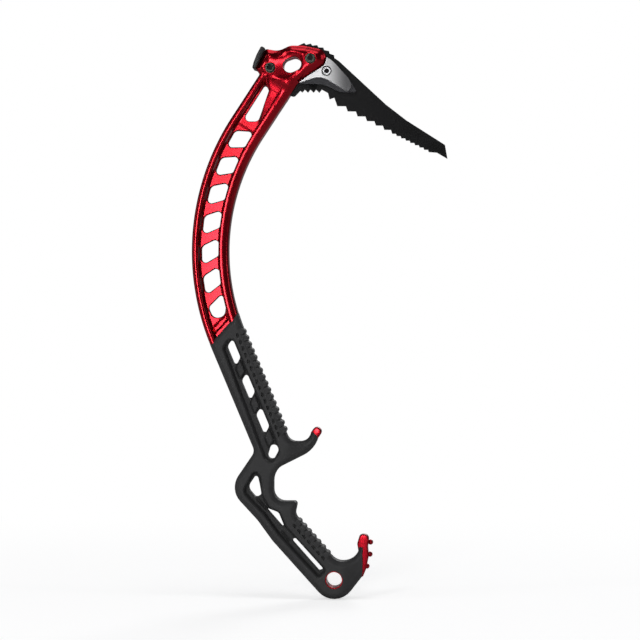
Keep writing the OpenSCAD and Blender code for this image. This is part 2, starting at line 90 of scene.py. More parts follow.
# %% [markdown]
# ## Light and floor
# Polished, coloured metal shows what stands round it, so the light matters more than the paint. A wide soft
# lamp beside the camera lights the flat faces, a strip on each side draws the long highlights on the rails, and
# the room between them is dim, so that rounded edges fall to a deep red. What lies behind the tool is white.

# %% Soft lamps
def soft_lamp(name, place, size, power, aim=look_at):
    data = bpy.data.lights.new(name, "AREA")
    data.shape = "RECTANGLE"
    data.size, data.size_y = size
    data.energy = power
    lamp = bpy.data.objects.new(name, data)
    lamp.location = place
    lamp.rotation_euler = (Vector(aim) - Vector(place)).to_track_quat("-Z", "Y").to_euler()
    bpy.context.scene.collection.objects.link(lamp)
    print(name, "at", [round(v, 2) for v in place])


soft_lamp("lamp_front", (-0.95, -2.4, 1.15), (0.6, 0.6), 10.5)
soft_lamp("lamp_camera", (-0.12, -2.7, -0.12), (0.42, 0.42), 11)
soft_lamp("lamp_left", (-2.3, -1.0, 0.3), (0.35, 1.8), 4.5)
soft_lamp("lamp_right", (2.3, -0.7, 0.6), (0.3, 1.4), 4)
soft_lamp("lamp_top", (0.0, -0.5, 2.2), (1.2, 0.8), 8)
soft_lamp("lamp_back", (0.6, 2.4, 0.9), (1.0, 1.0), 14)

# %% The room round the tool
world = bpy.data.worlds.new("studio")
bpy.context.scene.world = world
world.use_nodes = True
w = world.node_tree
w.nodes.clear()
seen = w.nodes.new("ShaderNodeBackground")
seen.inputs["Color"].default_value = (1, 1, 1, 1)
seen.inputs["Strength"].default_value = 1.0
room = w.nodes.new("ShaderNodeBackground")
room.inputs["Strength"].default_value = 0.09
room.inputs["Color"].default_value = (0.93, 0.95, 1, 1)
path = w.nodes.new("ShaderNodeLightPath")
place = w.nodes.new("ShaderNodeTexCoord")
axes = w.nodes.new("ShaderNodeSeparateXYZ")
behind = w.nodes.new("ShaderNodeMapRange")
behind.inputs["From Min"].default_value = 0.55
behind.inputs["From Max"].default_value = 0.95
behind.inputs["To Max"].default_value = 0.1
mirrored = w.nodes.new("ShaderNodeMath")
mirrored.operation = "MULTIPLY"
clear = w.nodes.new("ShaderNodeMath")
clear.operation = "MAXIMUM"
either = w.nodes.new("ShaderNodeMath")
either.operation = "MAXIMUM"
blend = w.nodes.new("ShaderNodeMixShader")
out = w.nodes.new("ShaderNodeOutputWorld")
w.links.new(place.outputs["Generated"], axes.inputs[0])
w.links.new(axes.outputs["Y"], behind.inputs["Value"])
w.links.new(path.outputs["Is Glossy Ray"], mirrored.inputs[0])
w.links.new(behind.outputs[0], mirrored.inputs[1])
w.links.new(path.outputs["Is Camera Ray"], clear.inputs[0])
w.links.new(path.outputs["Is Transmission Ray"], clear.inputs[1])
w.links.new(clear.outputs[0], either.inputs[0])
w.links.new(mirrored.outputs[0], either.inputs[1])
w.links.new(either.outputs[0], blend.inputs[0])
w.links.new(room.outputs[0], blend.inputs[1])
w.links.new(seen.outputs[0], blend.inputs[2])
w.links.new(blend.outputs[0], out.inputs["Surface"])
print("world strength", room.inputs["Strength"].default_value)

# %% [markdown]
# The floor is a wide pale sheet just under the pommel. It takes the tool's shadow, and to the camera it fades
# with the distance into plain white, so that no horizon shows behind the tool.

# %% Floor
floor_level = cad_box[0][2] - 0.0006
bm = bmesh.new()
bmesh.ops.create_grid(bm, x_segments=4, y_segments=4, size=6)
floor_mesh = bpy.data.meshes.new("floor")
bm.to_mesh(floor_mesh)
bm.free()
floor = bpy.data.objects.new("floor", floor_mesh)
floor.location = (0.035, 0, floor_level)
bpy.context.scene.collection.objects.link(floor)
floor_paint = bpy.data.materials.new("floor_paint")
floor_paint.use_nodes = True
f = floor_paint.node_tree
paper = f.nodes["Principled BSDF"]
paper.inputs["Base Color"].default_value = (0.9, 0.9, 0.9, 1)
paper.inputs["Roughness"].default_value = 0.9
paper.inputs["Specular IOR Level"].default_value = 0.1
glow = f.nodes.new("ShaderNodeEmission")
glow.inputs["Color"].default_value = (1, 1, 1, 1)
glow.inputs["Strength"].default_value = 0.62
add = f.nodes.new("ShaderNodeAddShader")
only = f.nodes.new("ShaderNodeLightPath")
seen_or_lit = f.nodes.new("ShaderNodeMixShader")
f.links.new(paper.outputs[0], add.inputs[0])
f.links.new(glow.outputs[0], add.inputs[1])
f.links.new(only.outputs["Is Camera Ray"], seen_or_lit.inputs[0])
f.links.new(paper.outputs[0], seen_or_lit.inputs[1])
white = f.nodes.new("ShaderNodeEmission")
spread_from = f.nodes.new("ShaderNodeTexCoord")
far = f.nodes.new("ShaderNodeVectorMath")
far.operation = "LENGTH"
fade = f.nodes.new("ShaderNodeMapRange")
fade.interpolation_type = "SMOOTHSTEP"
fade.inputs["From Min"].default_value = 0.12
fade.inputs["From Max"].default_value = 0.9
into_white = f.nodes.new("ShaderNodeMixShader")
f.links.new(spread_from.outputs["Object"], far.inputs[0])
f.links.new(far.outputs["Value"], fade.inputs["Value"])
f.links.new(fade.outputs[0], into_white.inputs[0])
f.links.new(add.outputs[0], into_white.inputs[1])
f.links.new(white.outputs[0], into_white.inputs[2])
f.links.new(into_white.outputs[0], seen_or_lit.inputs[2])
f.links.new(seen_or_lit.outputs[0], f.nodes["Material Output"].inputs["Surface"])
floor_mesh.materials.append(floor_paint)
print("floor at", round(floor_level, 4))

# %% [markdown]
# ## Finishes
# Nothing on a used tool is one flat colour. Two small node groups make the variation that the finishes share: a
# fine grain that lifts the surface a little, and a slow change of tone. Each finish places them with its own
# values, so a change to a group reaches every finish.

# %% Shared effects
def value_group(name, ins, outs):
    group = bpy.data.node_groups.new(name, "ShaderNodeTree")
    for label, kind, start in ins:
        made = group.interface.new_socket(label, in_out="INPUT", socket_type=kind)
        made.default_value = start
    for label, kind in outs:
        group.interface.new_socket(label, in_out="OUTPUT", socket_type=kind)
    return group, group.nodes.new("NodeGroupInput"), group.nodes.new("NodeGroupOutput")


def noise(tree, vector, scale, detail=3, rough=0.5):
    made = tree.nodes.new("ShaderNodeTexNoise")
    made.inputs["Detail"].default_value = detail
    made.inputs["Roughness"].default_value = rough
    if isinstance(scale, (int, float)):
        made.inputs["Scale"].default_value = scale
    else:
        tree.links.new(scale, made.inputs["Scale"])
    tree.links.new(vector, made.inputs["Vector"])
    return made.outputs["Fac"]


number, arrow = "NodeSocketFloat", "NodeSocketVector"
grain, g_in, g_out = value_group("surface grain", [("Scale", number, 900.0), ("Lift", number, 0.1),
                                                   ("Depth", number, 0.0002)],
                                 [("Normal", arrow), ("Mask", number)])
where = grain.nodes.new("ShaderNodeTexCoord")
fine = noise(grain, where.outputs["Object"], g_in.outputs["Scale"], 4)
lift = grain.nodes.new("ShaderNodeBump")
grain.links.new(g_in.outputs["Lift"], lift.inputs["Strength"])
grain.links.new(g_in.outputs["Depth"], lift.inputs["Distance"])
grain.links.new(fine, lift.inputs["Height"])
grain.links.new(lift.outputs[0], g_out.inputs["Normal"])
grain.links.new(fine, g_out.inputs["Mask"])

tone, t_in, t_out = value_group("slow tone", [("Scale", number, 18.0), ("Low", number, 0.35),
                                              ("High", number, 0.65)], [("Mask", number)])
where = tone.nodes.new("ShaderNodeTexCoord")
slow = noise(tone, where.outputs["Object"], t_in.outputs["Scale"], 5, 0.6)
spread = tone.nodes.new("ShaderNodeMapRange")
tone.links.new(slow, spread.inputs["Value"])
tone.links.new(t_in.outputs["Low"], spread.inputs["From Min"])
tone.links.new(t_in.outputs["High"], spread.inputs["From Max"])
tone.links.new(spread.outputs[0], t_out.inputs["Mask"])

print("groups:", [g.name for g in bpy.data.node_groups])

# %% A finish is one shader fed by those groups
def finish_start(name, metallic, roughness, coat=0.0, coat_rough=0.1, specular=0.5):
    made = bpy.data.materials.new(name)
    made.use_nodes = True
    shader = made.node_tree.nodes["Principled BSDF"]
    shader.inputs["Metallic"].default_value = metallic
    shader.inputs["Roughness"].default_value = roughness
    shader.inputs["Coat Weight"].default_value = coat
    shader.inputs["Coat Roughness"].default_value = coat_rough
    shader.inputs["Specular IOR Level"].default_value = specular
    return made, made.node_tree, shader


def use_group(tree, group, **values):
    made = tree.nodes.new("ShaderNodeGroup")
    made.node_tree = group
    for label, value in values.items():
        made.inputs[label].default_value = value
    return made


def two_tone(tree, mask, low, high):
    made = tree.nodes.new("ShaderNodeMix")
    made.data_type = "RGBA"
    made.inputs["A"].default_value = (*low, 1)
    made.inputs["B"].default_value = (*high, 1)
    tree.links.new(mask, made.inputs["Factor"])
    return made.outputs["Result"]


def over(tree, mask, below, colour):
    made = tree.nodes.new("ShaderNodeMix")
    made.data_type = "RGBA"
    tree.links.new(below, made.inputs["A"])
    made.inputs["B"].default_value = (*colour, 1)
    tree.links.new(mask, made.inputs["Factor"])
    return made.outputs["Result"]


def rough_range(tree, mask, low, high, shader):
    made = tree.nodes.new("ShaderNodeMapRange")
    made.inputs["To Min"].default_value = low
    made.inputs["To Max"].default_value = high
    tree.links.new(mask, made.inputs["Value"])
    tree.links.new(made.outputs[0], shader.inputs["Roughness"])


def toned(tree, shader, low, high, **values):
    slow = use_group(tree, tone, **values)
    tree.links.new(two_tone(tree, slow.outputs["Mask"], low, high), shader.inputs["Base Color"])
    return slow.outputs["Mask"]


def grained(tree, shader, **values):
    skin = use_group(tree, grain, **values)
    tree.links.new(skin.outputs["Normal"], shader.inputs["Normal"])
    return skin.outputs["Mask"]


print("effects to place:", tone.name, "and", grain.name)


# %% [markdown]
# Red anodising is a clear, dyed oxide on bright aluminium. The metal under it reflects in red, and the oxide
# skin adds a thin white gleam on top, so the finish is a full metal in red with a thin coat.

# %% Red anodised finish
red_finish, tree, shader = finish_start("red_anodised", 1.0, 0.27, coat=0.22, coat_rough=0.16)
toned(tree, shader, (0.30, 0.002, 0.008), (0.41, 0.004, 0.014), Scale=22.0)
rough_range(tree, grained(tree, shader, Scale=9000.0, Lift=0.02, Depth=0.000004), 0.20, 0.30, shader)
print("finish:", red_finish.name)

# %% [markdown]
# The rubber is matt and a little soft to the light, with a fine moulded grain. Its grey and its roughness
# change slowly together from place to place, as on a grip that has been held.

# %% Rubber finish
rubber_finish, tree, shader = finish_start("grip_rubber", 0.0, 0.6, specular=0.42)
slow = toned(tree, shader, (0.034, 0.034, 0.035), (0.050, 0.050, 0.051), Scale=30.0)
rough_range(tree, slow, 0.52, 0.68, shader)
grained(tree, shader, Scale=1800.0, Lift=0.2, Depth=0.00006)
print("finish:", rubber_finish.name)

# %% [markdown]
# The pick is hardened steel with a black oxide. Towards the ground tip it is painted darker, a painted shade
# for the hollow grind, and its edges are rubbed to a paler grey that also paints a highlight along them.

# %% Black steel for the pick
pick_finish, tree, shader = finish_start("pick_steel", 0.0, 0.45, specular=0.09)
where = tree.nodes.new("ShaderNodeTexCoord")
along = tree.nodes.new("ShaderNodeSeparateXYZ")
tree.links.new(where.outputs["Object"], along.inputs[0])
# Painted shade: the black is painted darker towards the tip, standing for the hollow grind's weaker reflection.
reach = tree.nodes.new("ShaderNodeMapRange")
reach.inputs["From Min"].default_value = 0.030
reach.inputs["From Max"].default_value = 0.125
tree.links.new(along.outputs["X"], reach.inputs["Value"])
colour = two_tone(tree, reach.outputs[0], (0.018, 0.018, 0.019), (0.002, 0.002, 0.002))
slow = use_group(tree, tone, Scale=45.0)
tree.links.new(over(tree, slow.outputs["Mask"], colour, (0.009, 0.009, 0.010)), shader.inputs["Base Color"])
rough_range(tree, grained(tree, shader, Scale=1100.0, Lift=0.12, Depth=0.00005), 0.34, 0.5, shader)
print("finish:", pick_finish.name)

# %% [markdown]
# Along its edges the black is rubbed off, and the paler steel there is also a painted highlight, the thin line
# of light along the edges. The bevel that breaks an edge can carry a finish of its own, so the rubbed steel
# sits exactly where hands, rock and a file would reach.

# %% Rubbed edges of the black steel, which also paint a highlight
rubbed_and_highlight_finish, tree, shader = finish_start("rubbed_and_highlight_edge", 0.9, 0.36)
toned(tree, shader, (0.05, 0.05, 0.052), (0.26, 0.26, 0.27), Scale=160.0, Low=0.4, High=0.62)
grained(tree, shader, Scale=1500.0, Lift=0.3, Depth=0.00008)
print("finish:", rubbed_and_highlight_finish.name)

# %% [markdown]
# The hammer is satin black steel, a little lighter than the pick. The head bolts are nearly black, and their
# washers are a greenish grey steel. Further down the same steel paints a highlight on the bolts' front faces
# and on the broken edges of the head bolts and the nuts, where a black rim catches the light.

# %% Satin black steel for the hammer, the bolts and the washers
hammer_finish, tree, shader = finish_start("hammer_steel", 0.4, 0.42)
toned(tree, shader, (0.022, 0.022, 0.023), (0.045, 0.045, 0.046), Scale=60.0)
grained(tree, shader, Scale=1300.0, Lift=0.35, Depth=0.0001)

bolt_finish, tree, shader = finish_start("black_bolt", 0.2, 0.5, specular=0.25)
toned(tree, shader, (0.003, 0.003, 0.003), (0.008, 0.008, 0.008), Scale=90.0)
grained(tree, shader, Scale=2500.0, Lift=0.2, Depth=0.00005)

# The washers' grey steel, also used further down as a painted highlight on black bolt rims and nut edges.
washer_and_highlight_finish, tree, shader = finish_start("washer_and_highlight_steel", 0.9, 0.34)
toned(tree, shader, (0.030, 0.038, 0.030), (0.058, 0.070, 0.056), Scale=120.0)
grained(tree, shader, Scale=2000.0, Lift=0.2, Depth=0.00005)
print("finishes:", hammer_finish.name, bolt_finish.name, washer_and_highlight_finish.name)

# %% [markdown]
# The weights are nickel-bright steel brushed along the pick. Noise that is stretched along one axis makes the
# streaks. Two more masks, one along the pick and one through the thickness, paint shade on the end of each
# weight that lies towards the pick's tip, where the plate turns away from the light, and on the ledge that lies
# nearer to the pick, which faces down into shade.

# %% Brushed bright steel
weight_finish, tree, shader = finish_start("brushed_steel", 1.0, 0.3)
where = tree.nodes.new("ShaderNodeTexCoord")
stretch = tree.nodes.new("ShaderNodeMapping")
stretch.inputs["Rotation"].default_value = (0, math.radians(-38), 0)
stretch.inputs["Scale"].default_value = (60, 900, 2600)
tree.links.new(where.outputs["Object"], stretch.inputs["Vector"])
streak = noise(tree, stretch.outputs[0], 1.0, 4, 0.6)
colour = two_tone(tree, streak, (0.36, 0.36, 0.365), (0.56, 0.56, 0.565))
spot = tree.nodes.new("ShaderNodeSeparateXYZ")
tree.links.new(where.outputs["Object"], spot.inputs[0])
# Painted shade: the end of each weight towards the pick's tip turns nearly black, as the plate turns from the
# light.
tip_end_painted_shade = tree.nodes.new("ShaderNodeMapRange")
tip_end_painted_shade.interpolation_type = "SMOOTHSTEP"
tip_end_painted_shade.inputs["From Min"].default_value = 0.022
tip_end_painted_shade.inputs["From Max"].default_value = 0.050
tip_end_painted_shade.inputs["To Max"].default_value = 0.93
tree.links.new(spot.outputs["X"], tip_end_painted_shade.inputs["Value"])
colour = over(tree, tip_end_painted_shade.outputs[0], colour, (0.03, 0.03, 0.032))
# Painted shade: the ledge nearer to the pick, which faces down, is painted nearly black.
level = tree.nodes.new("ShaderNodeMath")
level.operation = "ABSOLUTE"
tree.links.new(spot.outputs["Y"], level.inputs[0])
ledge = tree.nodes.new("ShaderNodeMapRange")
ledge.inputs["From Min"].default_value = 0.0088
ledge.inputs["From Max"].default_value = 0.0080
tree.links.new(level.outputs[0], ledge.inputs["Value"])
tree.links.new(over(tree, ledge.outputs[0], colour, (0.025, 0.025, 0.027)), shader.inputs["Base Color"])
rough_range(tree, streak, 0.25, 0.42, shader)
lines = tree.nodes.new("ShaderNodeBump")
lines.inputs["Strength"].default_value = 0.25
lines.inputs["Distance"].default_value = 0.00005
tree.links.new(streak, lines.inputs["Height"])
tree.links.new(lines.outputs[0], shader.inputs["Normal"])

bright_bolt_finish, tree, shader = finish_start("bright_bolt", 1.0, 0.25)
toned(tree, shader, (0.25, 0.25, 0.26), (0.36, 0.36, 0.37), Scale=150.0)
grained(tree, shader, Scale=2200.0, Lift=0.2, Depth=0.00005)
print("all finishes:", [m.name for m in bpy.data.materials])

# %% [markdown]
# ## Pieces taken over from the engineering model
# Where the engineering shape is right, a copy of it is merged, its flat triangles are dissolved, and its hard
# edges are broken with a small bevel. A machined or moulded edge is never truly sharp, and the bevel is what
# catches the light.

# %% Helper: a finished copy of a node
def put(bm, name, body, finish, stands_for=(), smooth_angle=30):
    mesh = bpy.data.meshes.new(name)
    bm.to_mesh(mesh)
    bm.free()
    mesh.materials.append(finish)
    mesh.polygons.foreach_set("use_smooth", [True] * len(mesh.polygons))
    mesh.set_sharp_from_angle(angle=math.radians(smooth_angle))
    piece = bpy.data.objects.new(name, mesh)
    bpy.context.scene.collection.objects.link(piece)
    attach(piece, body)
    for node in stands_for:
        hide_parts(node)
    print(name, "faces:", len(mesh.polygons))
    return piece


def merged_copy(node):
    bm = bmesh.new()
    bm.from_mesh(nodes[node].data)
    bmesh.ops.remove_doubles(bm, verts=bm.verts, dist=3e-6)
    bmesh.ops.dissolve_limit(bm, angle_limit=math.radians(0.6), verts=bm.verts, edges=bm.edges)
    return bm


def broken_edges(piece, width, segments=2, angle=32, edge_finish=None):
    soft = piece.modifiers.new("edge_break", "BEVEL")
    if edge_finish:
        piece.data.materials.append(edge_finish)
        soft.material = 1
    soft.width = width
    soft.segments = segments
    soft.limit_method = "ANGLE"
    soft.angle_limit = math.radians(angle)
    soft.miter_outer = "MITER_ARC"
    soft.use_clamp_overlap = True
    soft.harden_normals = True


print("nodes to dress:", sorted(nodes))


# %% [markdown]
# ## The forged frame
# The frame is one forging in aluminium alloy. Its shaft is an I-section: a round bar along the back, a thin web
# with windows, and a front rail whose crest falls away in a smooth curve. At the top the section swells into a
# head with a crest round a shallow dish. A forging's surface changes smoothly from one form to the next, so it
# is made as a field of heights: a fine grid follows the bent shaft, and each point of it is lifted to the
# surface. On the head the field is also blurred, because a forging has no kinks. The outline, the windows and
# the bores are then cut through it, as a press and a mill do.

# %% The line of the shaft, in millimetres
bend_radius = 204.0
head_lean, grip_lean = math.radians(33.3), math.radians(22.8)
neck_foot = np.array([-40.5, -55.5])
bend_centre = neck_foot + bend_radius * np.array([math.cos(head_lean), -math.sin(head_lean)])
bend_length = bend_radius * (head_lean + grip_lean)
half_depth = 16.5    # from the middle line to the front and to the back of the shaft
web_half = 2.5       # half the web's thickness
head_half = 12.0     # half the head's thickness


def on_shaft(run, side):
    run, side = np.broadcast_arrays(np.asarray(run, float), np.asarray(side, float))
    bent_run = np.clip(run, 0, bend_length)
    turn = bent_run / bend_radius - head_lean
    spoke = np.stack([np.cos(turn), np.sin(turn)], -1)
    ahead = np.stack([np.sin(turn), -np.cos(turn)], -1)
    return bend_centre - (bend_radius - side)[..., None] * spoke + (run - bent_run)[..., None] * ahead


print("bend length", round(bend_length, 1), "mm")


# %% Rounded outlines
def rounded(points, fine=9):
    path = []
    count = len(points)
    for i, (x, z, r) in enumerate(points):
        here = np.array([x, z], float)
        back = np.array(points[i - 1][:2], float) - here
        on = np.array(points[(i + 1) % count][:2], float) - here
        back_len, on_len = np.linalg.norm(back), np.linalg.norm(on)
        back, on = back / back_len, on / on_len
        corner = math.acos(max(-1, min(1, float(back @ on))))
        if r <= 0 or corner > math.radians(179.5):
            path.append(here)
            continue
        reach = min(r / math.tan(corner / 2), 0.49 * back_len, 0.49 * on_len)
        radius = reach * math.tan(corner / 2)
        middle = here + (back + on) / np.linalg.norm(back + on) * radius / math.sin(corner / 2)
        start, end = here + back * reach - middle, here + on * reach - middle
        sweep = math.atan2(start[0] * end[1] - start[1] * end[0], float(start @ end))
        for share in np.linspace(0, 1, fine):
            cos_s, sin_s = math.cos(sweep * share), math.sin(sweep * share)
            path.append(middle + np.array([start[0] * cos_s - start[1] * sin_s,
                                           start[0] * sin_s + start[1] * cos_s]))
    return np.array(path)


def neck_point(run, side, r=0.0):
    return [*on_shaft(run, side), r]


def depth_inside(spots, outline):
    start, end = outline, np.roll(outline, -1, 0)
    edge = end - start
    found = []
    for flat in np.array_split(spots.reshape(-1, 2), max(1, spots.size // 24000)):
        away = flat[:, None, :] - start[None]
        share = np.clip((away * edge).sum(-1) / np.maximum((edge ** 2).sum(-1), 1e-9), 0, 1)
        gap = np.linalg.norm(away - share[..., None] * edge, axis=-1).min(1)
        crosses = (start[None, :, 1] > flat[:, None, 1]) != (end[None, :, 1] > flat[:, None, 1])
        rise = np.where(abs(edge[None, :, 1]) < 1e-9, 1e-9, edge[None, :, 1])
        at = start[None, :, 0] + (flat[:, None, 1] - start[None, :, 1]) * edge[None, :, 0] / rise
        inside = (crosses & (flat[:, None, 0] < at)).sum(1) % 2 == 1
        found.append(np.where(inside, gap, -gap))
    return np.concatenate(found).reshape(spots.shape[:-1])


def ease(low, high, value):
    share = np.clip((value - low) / (high - low), 0, 1)
    return share * share * (3 - 2 * share)


def blend_up(a, b, width):
    share = np.clip(0.5 + 0.5 * (a - b) / width, 0, 1)
    return a * share + b * (1 - share) + width * share * (1 - share)


# %% Outlines of the head and its dish
head_front = [[-23.5, 14.6, 1.5], [-12.5, 12.6, 14], [-1.5, 17.6, 12], [11, 17.2, 25], [30.2, 12.8, 10.5],
              [30.3, 0.8, 8], [5.4, -15.5, 20], neck_point(-40, 16.5, 2), neck_point(-36, 18.2)]
head_back = [neck_point(-43, -18.2), neck_point(-46, -16.5, 4), [-30.2, -7, 3], [-32.2, -3, 1]]
front_runs, back_runs = np.linspace(-32, 182.4, 54), np.linspace(-36, 202.6, 58)
strip = [[*p, 0.0] for p in on_shaft(front_runs, 18.2)] + [[*p, 0.0] for p in on_shaft(back_runs, -18.2)[::-1]]
silhouette = rounded(head_front + strip + head_back)
dish = rounded([[-27.5, 5, 6], [-13, 13.4, 16], [-1.5, 13.2, 9], [9.8, 8.5, 8], [9, -5.5, 8], [-1.5, -12.9, 12],
                [-20, -13, 10], [-28.2, -6.5, 7]])
gusset = rounded([neck_point(-53, -10.3), neck_point(-53, 10.7), neck_point(-2, 10.7), neck_point(-10, 5.9, 2),
                  neck_point(-37, -4.7, 2), neck_point(-42, -10.3, 2)])
print("silhouette points", len(silhouette))

# %% The section of the shaft: half its thickness against the place across it
arc = np.linspace(0, math.pi, 11)
back_bar = [(-13.4 - 3.1 * math.cos(t), 6.9 + 3.1 * math.sin(t)) for t in arc]
crest = [(9.3 + 7.2 * math.sin(t), 5.5 + 4.5 * math.cos(t)) for t in np.linspace(0, math.pi / 2, 11)]
section = back_bar + [(-9.75, 3.9), (-9.4, 3.05), (-8.6, 2.5), (6.3, 2.5), (6.95, 2.8), (7.3, 3.7), (7.7, 8.2),
                      (7.95, 9.1), (8.5, 9.75)] + crest
section_side, section_half = np.array(section).T
columns = np.concatenate([section_side, np.arange(-32.3, 38, 0.7), [-half_depth, half_depth]])
columns = sorted(set(np.round(columns, 3)))
columns = np.array([c for i, c in enumerate(columns) if i == 0 or c - columns[i - 1] > 0.12
                    or np.isclose(c, section_side, atol=0.002).any()])
rows = np.concatenate([np.arange(-97, -40, 0.7), np.arange(-40, 0, 0.9), np.arange(0, 166, 2.0),
                       np.arange(166, 206, 0.8)])


def half_thickness(run, side, spots):
    shaft = np.interp(side, section_side, section_half)
    shaft = shaft + (web_half - shaft) * (1 - ease(-64, -47, run))
    inward = np.clip(depth_inside(spots, silhouette), 0, 9)
    swell = 6.4 + 5.6 * (1 - (1 - inward / 9) ** 2.4)
    swell = web_half + (swell - web_half) * (1 - ease(-52, -37, run))
    plateau = np.interp(run, [-52, -44, -34, -22, -8], [10.8, 9.9, 9.0, 7.6, 5.6])
    plateau = web_half + (plateau - web_half) * ease(-0.2, 1.6, depth_inside(spots, gusset))
    half = blend_up(blend_up(shaft, swell, 1.6), plateau, 1.2)
    sunk = depth_inside(spots, dish)
    half = half - 1.7 * ease(-1.0, 4.2, sunk) - 0.8 * ease(0, 12, sunk)
    return np.minimum(half, head_half)


print("columns:", len(columns), "rows:", len(rows))


# %% Lift the grid and close it
across, down = len(columns), len(rows)
bm = bmesh.new()
bmesh.ops.create_grid(bm, x_segments=across - 1, y_segments=down - 1, size=1)
bm.verts.ensure_lookup_table()
place = np.array([v.co[:2] for v in bm.verts])
i_col = np.rint((place[:, 0] + 1) / 2 * (across - 1)).astype(int)
i_row = np.rint((place[:, 1] + 1) / 2 * (down - 1)).astype(int)
run, side = rows[i_row], columns[i_col]
spots = on_shaft(run, side)
beyond = half_depth + 0.001
outer = (side > beyond) & (run > -39) | (side < -beyond) & (run > -45)
half = np.interp(side, section_side, section_half)
neck = run < 1
half[neck] = half_thickness(run[neck], side[neck], spots[neck])
field = np.empty((down, across))
field[i_row, i_col] = half
soften = (1 - ease(-40, -27, rows))[1:-1, None]
for _ in range(16):
    middle = field[1:-1, 1:-1]
    near = (field[:-2, 1:-1] + field[2:, 1:-1] + field[1:-1, :-2] + field[1:-1, 2:]) / 4
    field[1:-1, 1:-1] = middle + 0.6 * (near - middle) * soften
half = field[i_row, i_col]
low_plate = np.array([(-71.2, -235.6), (-59.6, -223.6), (-58.7, -229.2), (-69.2, -240.4)])
half = half + 1.3 * ease(-0.4, 0.5, depth_inside(spots, low_plate))
for v, (x, z), h in zip(bm.verts, spots, half):
    v.co = (x * mm, -h * mm, z * mm)
bmesh.ops.delete(bm, geom=[v for v, gone in zip(list(bm.verts), outer) if gone], context="VERTS")


def closed_pair(bm):
    rim = [e for e in bm.edges if e.is_boundary]
    twin = bmesh.ops.duplicate(bm, geom=list(bm.verts) + list(bm.edges) + list(bm.faces))
    twin_verts = [g for g in twin["geom"] if isinstance(g, bmesh.types.BMVert)]
    bmesh.ops.scale(bm, verts=twin_verts, vec=(1, -1, 1))
    twin_rim = [g for g in twin["geom"] if isinstance(g, bmesh.types.BMEdge) and g.is_boundary]
    bmesh.ops.bridge_loops(bm, edges=rim + twin_rim)
    bmesh.ops.recalc_face_normals(bm, faces=bm.faces)


closed_pair(bm)
print("lifted grid:", across, "x", down, "open edges:", sum(not e.is_manifold for e in bm.edges))


# %% [markdown]
# A hole or an outline is cut with a solid shape and a Boolean modifier, which keeps the result closed. Each
# such cutter is a prism or a drum that runs through the thickness, and it is deleted when the cut is made.

# %% Cutters: prisms and cylinders through the thickness
def prism(bm, outline, low, high):
    corners = [bm.verts.new((x * mm, low * mm, z * mm)) for x, z in outline]
    face = bm.faces.new(corners)
    made = bmesh.ops.extrude_face_region(bm, geom=[face])
    lifted = [g for g in made["geom"] if isinstance(g, bmesh.types.BMVert)]
    bmesh.ops.translate(bm, verts=lifted, vec=(0, (high - low) * mm, 0))


def drum(bm, centre, radius, low, high):
    turned = Matrix.Rotation(math.radians(90), 4, "X")
    spot = Matrix.Translation(Vector((centre[0], (low + high) / 2, centre[1])) * mm)
    bmesh.ops.create_cone(bm, cap_ends=True, segments=72, radius1=radius * mm, radius2=radius * mm,
                          depth=(high - low) * mm, matrix=spot @ turned)


def grown(outline, by):
    ahead = np.roll(outline, -1, 0) - np.roll(outline, 1, 0)
    ahead = ahead / np.maximum(np.linalg.norm(ahead, axis=1), 1e-9)[:, None]
    area = (outline[:, 0] * np.roll(outline[:, 1], -1) - np.roll(outline[:, 0], -1) * outline[:, 1]).sum()
    out = np.stack([ahead[:, 1], -ahead[:, 0]], -1) * (1 if area > 0 else -1)
    return outline + out * by


def flared_prism(bm, outline, waist, reach, flare):
    wide = grown(outline, flare)
    rings = [(wide, -reach), (wide, -waist - flare), (outline, -waist), (outline, waist), (wide, waist + flare),
             (wide, reach)]
    loops = []
    for ring, level in rings:
        corners = [bm.verts.new((x * mm, level * mm, z * mm)) for x, z in ring]
        loops.append([bm.edges.new((a, b)) for a, b in zip(corners, corners[1:] + corners[:1])])
    for lower, upper in zip(loops, loops[1:]):
        bmesh.ops.bridge_loops(bm, edges=lower + upper)
    bmesh.ops.edgeloop_fill(bm, edges=loops[0])
    bmesh.ops.edgeloop_fill(bm, edges=loops[-1])


def cutter(name, build):
    bm = bmesh.new()
    build(bm)
    bmesh.ops.remove_doubles(bm, verts=bm.verts, dist=1e-7)
    bmesh.ops.recalc_face_normals(bm, faces=bm.faces)
    mesh = bpy.data.meshes.new(name)
    bm.to_mesh(mesh)
    bm.free()
    made = bpy.data.objects.new(name, mesh)
    bpy.context.scene.collection.objects.link(made)
    return made


def carve(bm, steps):
    mesh = bpy.data.meshes.new("carving")
    bm.to_mesh(mesh)
    bm.free()
    blank = bpy.data.objects.new("carving", mesh)
    bpy.context.scene.collection.objects.link(blank)
    for tool, way in steps:
        cut = blank.modifiers.new(tool.name, "BOOLEAN")
        cut.object, cut.operation, cut.solver = tool, way, "MANIFOLD"
    bpy.context.view_layer.update()
    shaped = blank.evaluated_get(bpy.context.evaluated_depsgraph_get()).to_mesh()
    bm = bmesh.new()
    bm.from_mesh(shaped)
    blank.evaluated_get(bpy.context.evaluated_depsgraph_get()).to_mesh_clear()
    for gone in [blank] + [tool for tool, way in steps]:
        bpy.data.objects.remove(gone)
    bmesh.ops.remove_doubles(bm, verts=bm.verts, dist=2e-6)
    print("carved:", len(bm.faces), "faces, open edges:", sum(not e.is_manifold for e in bm.edges))
    return bm


print("cutting tools are ready")


# %% [markdown]
# The windows save weight and keep the web stiff: a long one beside the gusset, six slanted ones and a rounded
# one above the grip. Each has a small flare at the web's faces, where the trimming tool broke the edge.

# %% Windows
def bent(points):
    return rounded([neck_point(run, side, r) for run, side, r in points])


